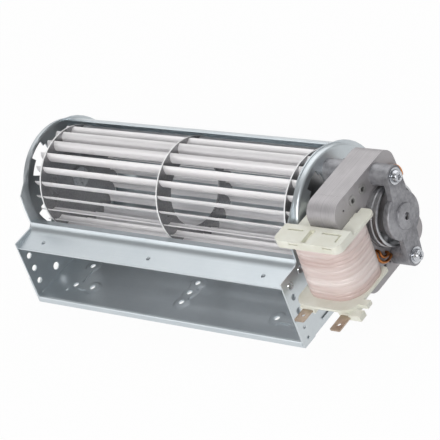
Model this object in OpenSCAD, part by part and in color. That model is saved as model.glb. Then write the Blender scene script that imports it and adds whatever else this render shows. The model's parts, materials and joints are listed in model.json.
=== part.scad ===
// Tangential cooling blower with a shaded-pole motor.
// The impeller's axis runs along X and the outlet faces -Y. The origin lies on the underside
// of the floor sheet, below the middle of the impeller's axis. All sizes are millimetres.

/* [Impeller] */
// Outer radius of the impeller's discs
fan_r = 30; // [26:0.5:34]
// Length between the outer faces of the two end discs
fan_len = 180; // [120:1:240]
// Number of blades
blade_count = 22; // [15:1:24]
// Thickness of a blade's strip
blade_t = 0.5; // [0.4:0.1:0.7]
// Width of a blade across its curve
blade_chord = 5.6; // [5:0.1:8]
// Radius of a blade's curve
blade_curve_r = 5; // [4.5:0.1:8]
// Distance of a blade's outer edge below the disc's rim
blade_inset = 0.5; // [0.4:0.1:1.6]
// How far the blades' ends stand out of the end discs
blade_end = 4.5; // [2:0.5:5]
// Thickness of the discs
disc_t = 0.8; // [0.6:0.1:1.2]
// Width of the middle ring from its rim to its hole
ring_w = 11; // [10.5:0.5:16]

/* [Housing] */
// Thickness of the scroll and lip sheets
sheet_t = 1; // [0.8:0.1:1.2]
// Thickness of the end plates
plate_t = 0.9; // [0.8:0.1:1.2]
// Distance from each end disc to the flat of its end plate
end_gap = 7; // [6.5:0.5:10]
// Gap between the impeller and the scroll at its top edge
scroll_gap = 2; // [1.5:0.5:3]
// Gap between the impeller and the floor
floor_gap = 10.5; // [8:0.5:14]
// Distance of the lip's rear edge from the impeller
lip_gap = 4.5; // [3:0.5:6]
// Reach of the outlet's floor in front of the impeller
outlet_reach = 28; // [24:1:40]
// Height that the floor's front flange and the end plates stand below the floor
skirt_h = 3; // [2:0.5:5]
// Depth of the end plates' pressed cups
cup_depth = 4.2; // [3:0.2:6]
// Radius of the cups' rounded edge
cup_round = 1.8; // [1.2:0.2:2]
// Inner radius of the cups' windows
window_r = 14; // [13:0.5:16]
// Radius of the holes in the floor's pads
pad_hole_r = 1.6; // [1.2:0.1:2]
// Radius of the holes in the lip plate
lip_hole_r = 1.25; // [1:0.05:1.8]
// Distance between the holes in the lip plate
lip_hole_pitch = 81; // [50:1:100]
// Radius of the fixing holes near the end plates' front edge
side_hole_r = 1.75; // [1.5:0.05:2]

/* [Motor] */
// Thickness of the lamination stack
core_t = 18; // [12:1:26]
// Half height of the lamination stack
core_h = 28.75; // [28:0.25:31]
// Reach of the stack in front of the shaft
core_front = 33; // [32:0.5:38]
// Reach of the stack behind the shaft
core_back = 20; // [19.5:0.5:26]
// Radius of the stack's corners
core_round = 8; // [4:0.5:9]
// Half height of the coil's window
coil_h = 16.2; // [14:0.2:16.6]
// Radius of the rotor
rotor_r = 16.6; // [14:0.1:16.7]
// Air gap between the rotor and the stack
air_gap = 0.4; // [0.3:0.05:0.5]
// Distance between the stack and the bearing brackets' outer faces
bracket_h = 11.7; // [11:0.1:14]
// Radius of the bearing brackets' round boss
boss_r = 12.7; // [11.5:0.1:13.5]
// Distance from the shaft to the brackets' screws
bracket_screw_r = 22.5; // [21.5:0.1:23]
// Radius of the motor's shaft
shaft_r = 2.5; // [2:0.1:3]
// Radius of the brackets' long screws
screw_r = 2; // [1.5:0.1:2.3]
// Width of the push-on tabs
tab_w = 6.3; // [4.8:0.1:6.6]
// Thickness of the push-on tabs
tab_t = 0.8; // [0.5:0.1:1]

/* [Hidden] */
$fn = 64;

eps = 0.01;             // overrun of a cut past the surface it opens
fit = 0.05;             // radial clearance of a running or slipped-in fit
seat = 0.1;             // clearance of a loose seat
axis_h = fan_r + floor_gap + sheet_t;
half_fan = fan_len / 2;
plate_in = half_fan + end_gap;              // inner face of an end plate's flat
plate_out = plate_in + plate_t;
cup_in = plate_in + cup_depth - plate_t;    // inner face of a cup's floor
cup_out = plate_in + cup_depth;
cup_r = fan_r + 3;                          // outer radius of a cup
cup_hole_r = 7.2;                           // radius of a cup's middle hole
skirt_z = -(fan_r + floor_gap + sheet_t + skirt_h);
front_y = -(fan_r + outlet_reach);          // front end of the floor, from the axis

// Shapes in the plane across the axis: their x is the row's Y and their y is its Z
module across(x0, len) {
    translate([x0, 0, axis_h]) rotate([90, 0, 90]) linear_extrude(len) children();
}
// Turned shapes about the axis, standing up along +X from x0
module turned(x0) {
    translate([x0, 0, axis_h]) rotate([90, 0, 90]) children();
}
module tube(x0, len, r_out, r_in) {
    turned(x0) difference() {
        cylinder(h = len, r = r_out);
        if (r_in > 0) translate([0, 0, -eps]) cylinder(h = len + 2 * eps, r = r_in);
    }
}
module rounded_rect(x0, y0, x1, y1, r) {
    translate([x0 + r, y0]) square([x1 - x0 - 2 * r, y1 - y0]);
    translate([x0, y0 + r]) square([x1 - x0, y1 - y0 - 2 * r]);
    for (x = [x0 + r, x1 - r], y = [y0 + r, y1 - r]) translate([x, y]) circle(r);
}
module slot_shape(p, q, r) {
    translate(p) circle(r);
    translate(q) circle(r);
    d = q - p;
    n = [-d.y, d.x] / norm(d) * r;
    polygon([p + n, p - n, q - n, q + n]);
}
// Tapered link between two circles, with its sides tangent to both
module link_shape(p, rp, q, rq) {
    translate(p) circle(rp);
    translate(q) circle(rq);
    d = q - p;
    a = atan2(d.y, d.x);
    b = acos((rp - rq) / norm(d));
    polygon([p + on_circle(rp, a + b), p + on_circle(rp, a - b),
             q + on_circle(rq, a - b), q + on_circle(rq, a + b)]);
}
function on_circle(r, a) = r * [cos(a), sin(a)];
function arc(c, r, a0, a1, n) = [for (i = [0 : n]) c + on_circle(r, a0 + (a1 - a0) * i / n)];
function unit(v) = v / norm(v);
function left_of(v) = [-v.y, v.x];
// The same path moved sideways by d, mitred at its bends
function beside(path, d) = [for (i = [0 : len(path) - 1])
    let (u = i == 0 ? unit(path[1] - path[0]) : unit(path[i] - path[i - 1]),
         v = i == len(path) - 1 ? u : unit(path[i + 1] - path[i]),
         m = unit(left_of(u) + left_of(v)))
    path[i] + m * d / (m * left_of(u))];
// A folded strip of thickness t: the path is its left-hand face
function strip(path, t) = concat(path, [for (i = [len(path) - 1 : -1 : 0]) beside(path, -t)[i]]);

// Scroll: it opens slowly below its top edge and runs out level into the floor
scroll_top_a = 60;
scroll_low_a = -86;
floor_in = fan_r + floor_gap;
function scroll_r(a) = let (u = (scroll_top_a - a) / (scroll_top_a + 90))
    fan_r + scroll_gap + (floor_gap - scroll_gap) * (1 - cos(180 * u)) / 2;
scroll_path = concat(
    [for (i = [0 : 24]) let (a = scroll_top_a + (scroll_low_a - scroll_top_a) * i / 24)
        on_circle(scroll_r(a), a)],
    [[front_y + 1.6, -floor_in], [front_y + 0.5, -floor_in - 0.4],
     [front_y, -floor_in - 1.5], [front_y, skirt_z]]);

// Floor pads and holes: X along the axis, Y from the axis
pad_h = 0.8;
pad_r = 6;                      // foot of the raised cone round a hole
pad_top_r = 3.2;
pad_link_r = 2.6;               // half width of the ridge that joins two holes
pad_y = -(fan_r + 15.1);        // the front row of holes
left_pad = [[-77, pad_y + 16], [-77, pad_y], [-63.8, pad_y]];
middle_pad = [[4.2, pad_y + 15.6], [4.2, pad_y + 7.8], [4.2, pad_y]];
right_pad = [[72.2, pad_y], [86, pad_y]];
pad_dimple = [-81, pad_y - 4.6];
dimple_r = 1.2;
tab_angles = [0, -50];          // where the scroll's side tabs sit
floor_tab_y = -(fan_r + 6.4);
side_tab_w = 6;
side_tab_out = 0.8;

// The pads' raised side, drawn in by g for the hollow that the punch leaves below
module pads(g) {
    for (p = concat(left_pad, middle_pad, right_pad)) translate(p)
        cylinder(h = pad_h, r1 = pad_r - g, r2 = pad_top_r - g);
    linear_extrude(pad_h - 0.1) {
        slot_shape(left_pad[0], left_pad[1], pad_link_r - g);
        slot_shape(left_pad[1], left_pad[2], pad_link_r - g);
        slot_shape(middle_pad[0], middle_pad[2], pad_link_r - g);
        slot_shape(right_pad[0], right_pad[1], pad_link_r - g);
    }
}
module side_tabs(clear) {
    reach = plate_out + side_tab_out - plate_in + 1;
    for (s = [-1, 1]) {
        x0 = s > 0 ? plate_in - 1 : -plate_in + 1 - reach;
        for (a = tab_angles)
            across(x0, reach) rotate(a) translate([scroll_r(a) - clear, -side_tab_w / 2 - clear])
                square([sheet_t + 2 * clear, side_tab_w + 2 * clear]);
        across(x0, reach) translate([floor_tab_y - side_tab_w / 2 - clear, -floor_in - sheet_t - clear])
            square([side_tab_w + 2 * clear, sheet_t + 2 * clear]);
    }
}
module scroll_sheet() color("#9aa1a5") {
    difference() {
        union() {
            across(-plate_in, 2 * plate_in) polygon(strip(scroll_path, -sheet_t));
            translate([0, 0, sheet_t - eps]) pads(0);
        }
        translate([0, 0, -eps]) pads(0.6);
        for (p = concat(left_pad, middle_pad, [right_pad[0]]))
            translate([p.x, p.y, -1]) cylinder(h = sheet_t + pad_h + 2, r = pad_hole_r, $fn = 32);
        translate([pad_dimple.x, pad_dimple.y, sheet_t + dimple_r / 2]) sphere(r = dimple_r, $fn = 24);
    }
    difference() {
        side_tabs(0);
        translate([-plate_in + eps, -3 * fan_r, -fan_r])
            cube([2 * plate_in - 2 * eps, 6 * fan_r, 6 * fan_r]);
    }
}

// Lip plate: return flange, rounded crest, concave run and sloping front
lip_back = -(fan_r + lip_gap);
lip_front = -(fan_r + outlet_reach - 3.9);
lip_bend_r = 6.7;                           // hollow bend between the crest and the front
lip_path = concat([[lip_back, -3.1]],
    arc([lip_back - 10, 0.3], lip_bend_r, -23, -81.4, 6), [[lip_front, -7.9]]);
lip_hole_y = -(fan_r + 18);
lip_flange_y = [-(fan_r + 22), -(fan_r + 6)];
lip_flange_low = -13;
lip_rivet_at = [[-(fan_r + 8.4), -8.6], [-(fan_r + 18.8), -10.6]];
rivet_r = 1.4;
rivet_head_r = 2.2;
rivet_head_h = 0.3;
rivet_edge = 0.2;               // slope of a head's edge
rivet_dish_r = [1, 1.4];        // floor and rim of the dish in a head

module lip_plate() color("#aab4b9") {
    difference() {
        across(-plate_in, 2 * plate_in) polygon(strip(lip_path, -sheet_t));
        for (i = [-1 : 1])
            translate([i * lip_hole_pitch, lip_hole_y, axis_h - 12])
                cylinder(h = 12, r = lip_hole_r, $fn = 32);
    }
    for (s = [-1, 1]) difference() {
        across(s > 0 ? plate_in - sheet_t : -plate_in, sheet_t) intersection() {
            polygon(concat([[lip_flange_y[0], lip_flange_low + 2], [lip_flange_y[0] + 2, lip_flange_low],
                    [lip_flange_y[1] - 4, lip_flange_low], [lip_flange_y[1], lip_flange_low + 4],
                    [lip_flange_y[1], 0], [lip_flange_y[0], 0]]));
            polygon(concat(beside(lip_path, sheet_t / 2), [[lip_front, -20], [lip_back, -20]]));
        }
        for (p = lip_rivet_at)
            across(-plate_out - 5, 2 * plate_out + 10) translate(p) circle(rivet_r + fit, $fn = 24);
    }
}
module lip_rivets() color("#8d969b") {
    for (s = [-1, 1], p = lip_rivet_at) translate([0, p.x, axis_h + p.y])
        rotate([0, 90 * s, 0]) rotate_extrude($fn = 32) polygon([
            [0, plate_in - sheet_t], [rivet_dish_r[0], plate_in - sheet_t],
            [rivet_dish_r[1], plate_in - sheet_t - rivet_head_h],
            [rivet_head_r - rivet_edge, plate_in - sheet_t - rivet_head_h],
            [rivet_head_r, plate_in - sheet_t], [rivet_r, plate_in - sheet_t], [rivet_r, plate_out],
            [rivet_head_r, plate_out], [rivet_head_r - rivet_edge, plate_out + rivet_head_h],
            [rivet_dish_r[1], plate_out + rivet_head_h], [rivet_dish_r[0], plate_out],
            [0, plate_out]]);
}

// End plates: the outline follows the scroll at the back and the lip at the front
plate_tip = [lip_front, -5];
function plate_r(a) = cup_r + 0.4 + (floor_gap + sheet_t) * pow((scroll_top_a - a) / 150, 0.9);
plate_outline = concat(
    [[front_y, skirt_z], plate_tip], arc([lip_back - 7.1, -1.3], 3.5, -90, 0, 6),
    [[lip_back - 2.7, 6.4], [lip_back - 1.2, 14.2]],
    arc([0, 0], cup_r + 0.4, 117, scroll_top_a, 12),
    [for (i = [1 : 20]) let (a = scroll_top_a - i * 7.5) on_circle(plate_r(a), a)],
    [[0, skirt_z]]);
window_half = 23;
window_out_r = fan_r - 1.4;
window_step_r = window_out_r - 3.4;
window_at = [28, 118, 208, 298];
motor_screw_r = 1.5;
motor_screw_at = [[10.2, 0], [-10.2, 0]];
joggle_y = front_y + 9.4;

module wedge(a0, a1) polygon(concat([[0, 0]], arc([0, 0], 2 * fan_r, a0, a1, 4)));
module window(a) {
    intersection() {
        difference() { circle(window_step_r); circle(window_r); }
        wedge(a - window_half, a + window_half);
    }
    intersection() {
        difference() { circle(window_out_r); circle(window_step_r - eps); }
        wedge(a - window_half + 4, a + 3);
    }
}
// A plate's pressing with its flat on x = 0 and its cup standing up
module plate_pressing() {
    difference() {
        union() {
            linear_extrude(plate_t) difference() {
                polygon(plate_outline);
                circle(cup_r - plate_t / 2);
            }
            rotate_extrude() polygon(concat(
                [[cup_r, 0]], arc([cup_r - cup_round, cup_depth - cup_round], cup_round, 0, 90, 6),
                [[cup_hole_r, cup_depth], [cup_hole_r, cup_depth - plate_t],
                 [cup_r - cup_round, cup_depth - plate_t]],
                arc([cup_r - cup_round, cup_depth - cup_round], cup_round - plate_t, 90, 0, 5),
                [[cup_r - plate_t, 0]]));
            // the lower front corner is joggled outwards round the floor's folded edge
            translate([0, 0, plate_t - eps]) linear_extrude(0.6 + eps) intersection() {
                polygon(plate_outline);
                translate([front_y - 1, skirt_z]) square([joggle_y - front_y + 1, -28.3 - skirt_z]);
            }
        }
        for (a = window_at) translate([0, 0, -1]) linear_extrude(cup_depth + 2) window(a);
        translate([joggle_y - 4.7, skirt_z + 3.4, -1]) cylinder(h = 4, r = 0.9, $fn = 24);
    }
}
side_hole_at = [[-(fan_r + 20), 13.1 - fan_r], [-(fan_r + 20.9), 4.8 - fan_r],
                [-(fan_r + 21.8), -(fan_r + 3.5)]];
module punch(p, r) {
    turned(-plate_out - 5) translate([p.x, p.y, 0]) cylinder(h = 2 * plate_out + 10, r = r, $fn = 32);
}
module left_end_plate() color("#8f989d") {
    difference() {
        turned(-plate_in) mirror([0, 0, 1]) plate_pressing();
        side_tabs(seat);
        for (p = lip_rivet_at) punch(p, rivet_r + fit);
        for (p = side_hole_at) punch(p, side_hole_r);
        punch([-(fan_r + 7.5), -(fan_r + 5.2)], 2.2);
    }
}
module right_end_plate() color("#b4bec4") {
    difference() {
        turned(plate_in) plate_pressing();
        side_tabs(seat);
        for (p = lip_rivet_at) punch(p, rivet_r + fit);
        for (i = [0, 1]) punch(side_hole_at[i], side_hole_r);
        punch([-(fan_r + 22.6), -(fan_r + 4.7)], 1);
        punch([-(fan_r + 7.2), 9.8 - fan_r], 2);
        for (p = motor_screw_at) punch(p, motor_screw_r + fit);
    }
}

// Left bearing: rubber ring in the cup's hole, bush inside it
bush_r = shaft_r + 2.2;
bush_x = cup_in - 2.4;
bush_len = 6.4;
lobe_r = 9.6;                   // rim of the grommet's two lobes
module left_grommet() color("#2b2b2b") {
    turned(-cup_out - 2) rotate_extrude() polygon([
        [bush_r, 0], [lobe_r - 0.6, 0], [lobe_r, 0.6], [lobe_r, 2], [cup_hole_r - fit, 2],
        [cup_hole_r - fit, 2 + plate_t], [lobe_r, 2 + plate_t], [lobe_r, 3.5 + plate_t],
        [lobe_r - 0.6, 4.1 + plate_t], [bush_r, 4.1 + plate_t]]);
}
module left_bush() color("#8a6b45") {
    tube(-bush_x - bush_len, bush_len, bush_r, shaft_r + fit);
}

// Impeller
blade_mid_r = fan_r - blade_inset - blade_chord / 2;
blade_half_a = asin(blade_chord / 2 / blade_curve_r);
blade_tilt = 30.2;              // turn of a blade's chord from the radius
first_blade_a = 99.6;
blade_pitch = 360 / blade_count;
// Section of one blade, grown by g on every side
module blade_section(g) {
    drop = blade_curve_r * cos(blade_half_a);
    c = [0, -drop];
    e = asin(g / blade_curve_r);
    translate([blade_mid_r, 0]) rotate(-blade_tilt) polygon(concat(
        arc(c, blade_curve_r + blade_t / 2 + g, 90 - blade_half_a - e, 90 + blade_half_a + e, 8),
        arc(c, blade_curve_r - blade_t / 2 - g, 90 + blade_half_a + e, 90 - blade_half_a - e, 8)));
}
module all_blades(g) {
    for (i = [0 : blade_count - 1]) rotate(first_blade_a + i * blade_pitch) blade_section(g);
}
module impeller_blades() color("#e9e9ec") {
    across(-half_fan - blade_end, fan_len + 2 * blade_end) all_blades(0);
}
module slotted_disc(x0, hole_r) {
    across(x0, disc_t) difference() {
        circle(fan_r);
        circle(hole_r);
        all_blades(fit);
    }
}
hub_pin_r = 5;
module left_end_disc() color("#dcdde0") { slotted_disc(-half_fan, hub_pin_r); }
module middle_ring() color("#dcdde0") { slotted_disc(-disc_t / 2, fan_r - ring_w); }
module right_end_disc() color("#dcdde0") { slotted_disc(half_fan - disc_t, hub_pin_r); }

end_play = 0.15;
washer_t = 0.6;
module left_stub_shaft() color("#b9bcc0") {
    hub_end = half_fan - bush_x + washer_t + end_play;      // negative: towards the bush
    turned(-half_fan) rotate_extrude() polygon([
        [0, disc_t + 1.2], [hub_pin_r + 1, disc_t + 1.2], [hub_pin_r + 1, disc_t],
        [hub_pin_r, disc_t], [hub_pin_r, 0], [8, 0], [8, -1.6], [5.4, -2.6], [5, hub_end],
        [shaft_r, hub_end], [shaft_r, half_fan - bush_x - bush_len - 2],
        [shaft_r - 0.6, half_fan - bush_x - bush_len - 2.6], [0, half_fan - bush_x - bush_len - 2.6]]);
}
module right_hub() color("#6f7478") {
    turned(half_fan) rotate_extrude() polygon([
        [shaft_r, -13], [6.4, -13], [7, -12.4], [7, -disc_t - 1.4], [hub_pin_r + 1, -disc_t - 1.4],
        [hub_pin_r + 1, -disc_t], [hub_pin_r, -disc_t], [hub_pin_r, 0], [8, 0], [8, 1.4],
        [6, 2.4], [shaft_r, 2.4]]);
}

// Motor, from the right plate's cup outwards
core_x0 = cup_out + bracket_h;
core_x1 = core_x0 + core_t;
bracket_x1 = core_x1 + bracket_h;       // outer face of the outer bracket
leg_t = 9;
leg_back = -core_front + leg_t;
bore_r = rotor_r + air_gap;
window_back = -(bore_r + 1.5);
seam_y = -22;
bracket_screw_a = 79.5;
bracket_screw_at = [on_circle(bracket_screw_r, bracket_screw_a),
                    on_circle(bracket_screw_r, bracket_screw_a + 180)];
rivet_hole_r = 1.9;
tube_rivet_wall = 0.6;
stack_rivet_at = [[-8.4, 22.6], [-17.4, 22.6]];
shade_a = [45, 225];            // directions of the shaded pole horns
shade_centre_r = bore_r + 0.6;
shade_loop_r = [4, 6.6];
shade_half_a = 70;
shade_wire_r = 0.9;
shade_stand = 1.8;              // height of the bows' centre line above the stack
yoke_notch = [-15, -21.6];      // small marks that the stack's sheets are lined up by
yoke_punch = [-10.9, -22.3];
leg_punch = [-25.2, 22.6];
notch_r = 1.4;
punch_r = 0.65;

module core_outline() rounded_rect(-core_front, -core_h, core_back, core_h, core_round);
module shade_slots() {
    for (s = shade_a, e = [-1, 1]) {
        c = on_circle(shade_centre_r, s);
        slot_shape(c + on_circle(shade_loop_r[0], s + e * shade_half_a),
                   c + on_circle(shade_loop_r[1], s + e * shade_half_a), shade_wire_r);
    }
}
module stator_yoke() color("#b3b1ae") {
    across(core_x0, core_t) difference() {
        core_outline();
        translate([seam_y - 2 * core_front, -2 * core_h]) square([2 * core_front, 4 * core_h]);
        translate([seam_y - 1, -coil_h]) square([window_back - seam_y + 1, 2 * coil_h]);
        circle(bore_r);
        shade_slots();
        for (p = bracket_screw_at) translate(p) circle(screw_r + seat);
        for (p = stack_rivet_at) translate(p) circle(rivet_hole_r + fit, $fn = 32);
        translate(yoke_notch) circle(notch_r, $fn = 3);
        translate(yoke_punch) circle(punch_r, $fn = 16);
    }
}
module coil_core() color("#b8b6b3") {
    across(core_x0, core_t) difference() {
        core_outline();
        translate([seam_y, -2 * core_h]) square([3 * core_front, 4 * core_h]);
        translate([leg_back, -coil_h]) square([core_front, 2 * coil_h]);
        translate(leg_punch) circle(punch_r, $fn = 16);
    }
}
module stack_rivets() color("#7c7a74") {
    for (p = stack_rivet_at) turned(core_x0 - 0.5) translate([p.x, p.y, 0]) difference() {
        union() {
            cylinder(h = core_t + 1, r = rivet_hole_r, $fn = 32);
            for (x = [0, core_t + 0.5]) translate([0, 0, x])
                cylinder(h = 0.5, r = rivet_hole_r + 0.7, $fn = 32);
        }
        translate([0, 0, -1]) cylinder(h = core_t + 3, r = rivet_hole_r - tube_rivet_wall, $fn = 32);
    }
}
// Bare copper loops round each shaded pole horn, two to a horn: a bow on each face of the
// stack and two legs through it
module shading_rings() color("#b06a35") {
    for (s = shade_a, r = shade_loop_r) {
        c = on_circle(shade_centre_r, s);
        for (x = [core_x0 - shade_stand, core_x1 + shade_stand]) turned(x)
            translate([c.x, c.y, 0]) rotate(s - shade_half_a)
                rotate_extrude(angle = 2 * shade_half_a) translate([r, 0]) circle(shade_wire_r, $fn = 24);
        for (e = [-1, 1]) {
            p = c + on_circle(r, s + e * shade_half_a);
            turned(core_x0 - shade_stand) translate([p.x, p.y, 0])
                cylinder(h = core_t + 2 * shade_stand, r = shade_wire_r - 0.1, $fn = 24);
        }
    }
}

// Coil former and coil: the coil reaches further in front of its leg than behind it, and
// leans, because the lower flange holds more turns in front
core_mid = core_x0 + core_t / 2;
coil_half_w = 18.2;
coil_front = -48.4;             // at the height of the shaft
coil_lean = 6.8;
coil_back = window_back - 2.1;
coil_round = [13, 8];           // front and rear corners
flange_t = 1.5;
flange_half_w = 18.6;
top_flange_y = [-47.7, -14.6];
low_flange_y = [-56.4, -22.6];
flange_round = 4;
tube_wall = 0.8;
leg_seat = 0.15;
tongue_gap = 1;                 // between a tongue and the stack's face
shelf_z = coil_h - 0.2;         // top face of the top flange
shelf_h = 3;
shelf_back = -(core_front + 1.8);
shelf_left = core_mid - 23;
shelf_groove = [core_mid - 5.1, core_mid - 1.7];
slit_w = 1.2;
slit_y = shelf_back - 4.4;
slit_x = [[-18.7, -9.1], [3.2, 15.3]];      // from the middle of the stack
slit_depth = 1.2;
latch_x = [-12.8, 8.6];                     // the plug's latch windows in the shelf's front
latch_w = 6;

// Blocks given by their lowest and highest corner, Y and Z from the axis
module block(lo, hi) translate([lo.x, lo.y, axis_h + lo.z]) cube(hi - lo);
module plan(z0, h) translate([0, 0, axis_h + z0]) linear_extrude(h) children();
module leg_hole(g) {
    translate([core_x0 - g, -core_front - g]) square([core_t + 2 * g, leg_t + 2 * g]);
}
// Rectangle with its front corners rounded by r.x and its rear corners by r.y
module two_round_rect(x0, y0, x1, y1, r) {
    translate([x0 + r.x, y0]) square([x1 - x0 - 2 * r.x, r.x + eps]);
    translate([x0, y0 + r.x]) square([x1 - x0, y1 - y0 - r.x - r.y]);
    translate([x0 + r.y, y1 - r.y - eps]) square([x1 - x0 - 2 * r.y, r.y + eps]);
    for (x = [x0 + r.x, x1 - r.x]) translate([x, y0 + r.x]) circle(r.x);
    for (x = [x0 + r.y, x1 - r.y]) translate([x, y1 - r.y]) circle(r.y);
}
module top_flange_plan() {
    difference() {
        two_round_rect(core_mid - flange_half_w, top_flange_y[0], core_mid + flange_half_w, top_flange_y[1],
            [flange_round, flange_round]);
        translate([core_x0 - tongue_gap, window_back - leg_seat])
            square([core_t + 2 * tongue_gap, core_front]);
    }
    two_round_rect(shelf_left, top_flange_y[0], core_mid, shelf_back, [flange_round, 1]);
}
module low_flange_plan() {
    two_round_rect(core_mid - flange_half_w - 0.6, low_flange_y[0], core_mid + flange_half_w + 0.6,
        low_flange_y[1], [2 * flange_round, flange_round / 2]);
}
hook_x = core_mid + 17;
hook_len = 7;
holder_h = 3.2;
module bobbin() color("#ecebd8") {
    difference() {
        union() {
            plan(shelf_z - flange_t, flange_t) top_flange_plan();
            plan(-shelf_z, flange_t) low_flange_plan();
            plan(-shelf_z, 2 * shelf_z) leg_hole(leg_seat + tube_wall);
            // shelf with two seats for a plug
            plan(shelf_z - eps, shelf_h + eps) intersection() {
                top_flange_plan();
                translate([shelf_left, 2 * top_flange_y[0]])
                    square([2 * flange_half_w + 10, shelf_back - 2 * top_flange_y[0]]);
            }
            // holders of the tabs under the lower flange
            for (x = tab_x) block([x - tab_w / 2 - 1.2, low_flange_y[0], -shelf_z - holder_h],
                                  [x + tab_w / 2 + 1.2, low_flange_y[0] + 9, -shelf_z + eps]);
            // wire guides at the right-hand side
            block([hook_x, low_flange_y[0] + 6, -shelf_z - 0.8],
                  [hook_x + hook_len, low_flange_y[0] + 10, -shelf_z + flange_t]);
            block([hook_x - 1, low_flange_y[0] - 0.8, -shelf_z - holder_h],
                  [hook_x + hook_len - 0.6, low_flange_y[0] + 4, -shelf_z + eps]);
        }
        plan(-shelf_z - 10, 2 * shelf_z + 20) leg_hole(leg_seat);
        // the groove between the seats, and the slits round them
        block([shelf_groove[0], top_flange_y[0] + 1, shelf_z + shelf_h - 2.2],
              [shelf_groove[1], shelf_back - 2.4, shelf_z + shelf_h + 1]);
        for (x = slit_x)
            block([core_mid + x[0], slit_y, shelf_z + shelf_h - slit_depth],
                  [core_mid + x[1], slit_y + slit_w, shelf_z + shelf_h + 1]);
        block([core_mid + slit_x[1][1] - slit_w, slit_y - 4.5, shelf_z + shelf_h - slit_depth],
              [core_mid + slit_x[1][1], slit_y + slit_w, shelf_z + shelf_h + 1]);
        for (x = latch_x) block([core_mid + x, top_flange_y[0] - 1, shelf_z + 1.2],
                                [core_mid + x + latch_w, top_flange_y[0] + 1, shelf_z + 2]);
        for (x = tab_x) block([x - tab_w / 2 - fit, low_flange_y[0] - 5, tab_z - fit],
                              [x + tab_w / 2 + fit, low_flange_y[0] + 6 + fit, tab_z + tab_t + fit]);
    }
}
module coil_winding() color("#d8cac8") {
    intersection() {
        plan(-shelf_z + flange_t, 2 * (shelf_z - flange_t)) difference() {
            translate([core_mid - 2 * coil_half_w, 2 * coil_front])
                square([4 * coil_half_w, -2 * coil_front]);
            leg_hole(leg_seat + tube_wall);
        }
        translate([0, 0, axis_h]) rotate([-coil_lean, 0, 0]) translate([0, 0, -2 * shelf_z])
            linear_extrude(4 * shelf_z) two_round_rect(core_mid - coil_half_w, coil_front,
                core_mid + coil_half_w, coil_back, coil_round);
    }
}
tab_x = [core_mid + 13.8, core_mid - 10.6];
tab_reach = [10.6, 8.4];
tab_z = -shelf_z - 2.2;
tab_hole_r = 1.1;
module terminal_tabs() color("#9c8674") {
    for (i = [0, 1]) difference() {
        plan(tab_z, tab_t) two_round_rect(tab_x[i] - tab_w / 2, low_flange_y[0] - tab_reach[i],
            tab_x[i] + tab_w / 2, low_flange_y[0] + 6, [0.8, 0.1]);
        translate([tab_x[i], low_flange_y[0] - tab_reach[i] + 4.4, axis_h + tab_z - 1])
            cylinder(h = tab_t + 2, r = tab_hole_r, $fn = 24);
    }
}

// Die-cast bearing bracket, its outer face on x = bracket_h and its feet on x = 0
bracket_plate_t = 3;
foot_r = 5.6;
arm_r = 6.4;                    // half width of an arm at the boss
boss_t = 4.2;
pilot_r = cup_hole_r - 0.4;
pilot_h = 1.3;
pilot_skin = 1.2;               // closes the bush's seat
bearing_r = shaft_r + 3;
module bearing_bracket(screw_hole_r, mouth_r) {
    difference() {
        union() {
            translate([0, 0, bracket_h - bracket_plate_t]) linear_extrude(bracket_plate_t)
                for (p = bracket_screw_at) link_shape([0, 0], arm_r, p, foot_r);
            for (p = bracket_screw_at) translate([p.x, p.y, 0]) cylinder(h = bracket_h, r = foot_r);
            rotate_extrude() polygon(concat(
                [[0, bracket_h + pilot_h]],
                arc([pilot_r - 0.5, bracket_h + pilot_h - 0.5], 0.5, 90, 0, 4), [[pilot_r, bracket_h]],
                arc([boss_r - 1.5, bracket_h - 1.5], 1.5, 90, 0, 6),
                [[boss_r - 0.4, bracket_h - boss_t], [bearing_r + 2, bracket_h - boss_t],
                 [bearing_r + 1.6, bracket_h - boss_t - 1.2], [0, bracket_h - boss_t - 1.2]]));
        }
        for (p = bracket_screw_at) translate([p.x, p.y, -1]) cylinder(h = bracket_h + 2, r = screw_hole_r);
        // seat of the bush, and the shaft's way through
        translate([0, 0, -1]) cylinder(h = bracket_h + pilot_h - pilot_skin + 1, r = bearing_r + fit);
        translate([0, 0, -1]) cylinder(h = bracket_h + 5, r = mouth_r);
    }
}
module outer_bracket() color("#9a9a99") {
    turned(core_x1) bearing_bracket(screw_r + seat, 2);
}
motor_screw_len = 8;
module inner_bracket() color("#9a9a99") {
    difference() {
        turned(core_x0) mirror([0, 0, 1]) bearing_bracket(screw_r + fit, shaft_r + 0.5);
        for (p = motor_screw_at) turned(cup_in) translate([p.x, p.y, 0])
            cylinder(h = motor_screw_len + 0.3, r = motor_screw_r + fit, $fn = 32);
    }
}
bush_t = 5;
module outer_bush() color("#8a6b45") {
    tube(bracket_x1 + pilot_h - pilot_skin - bush_t, bush_t, bearing_r, shaft_r + fit);
}
module inner_bush() color("#8a6b45") {
    tube(core_x0 - bracket_h - pilot_h + pilot_skin, bush_t, bearing_r, shaft_r + fit);
}

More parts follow.
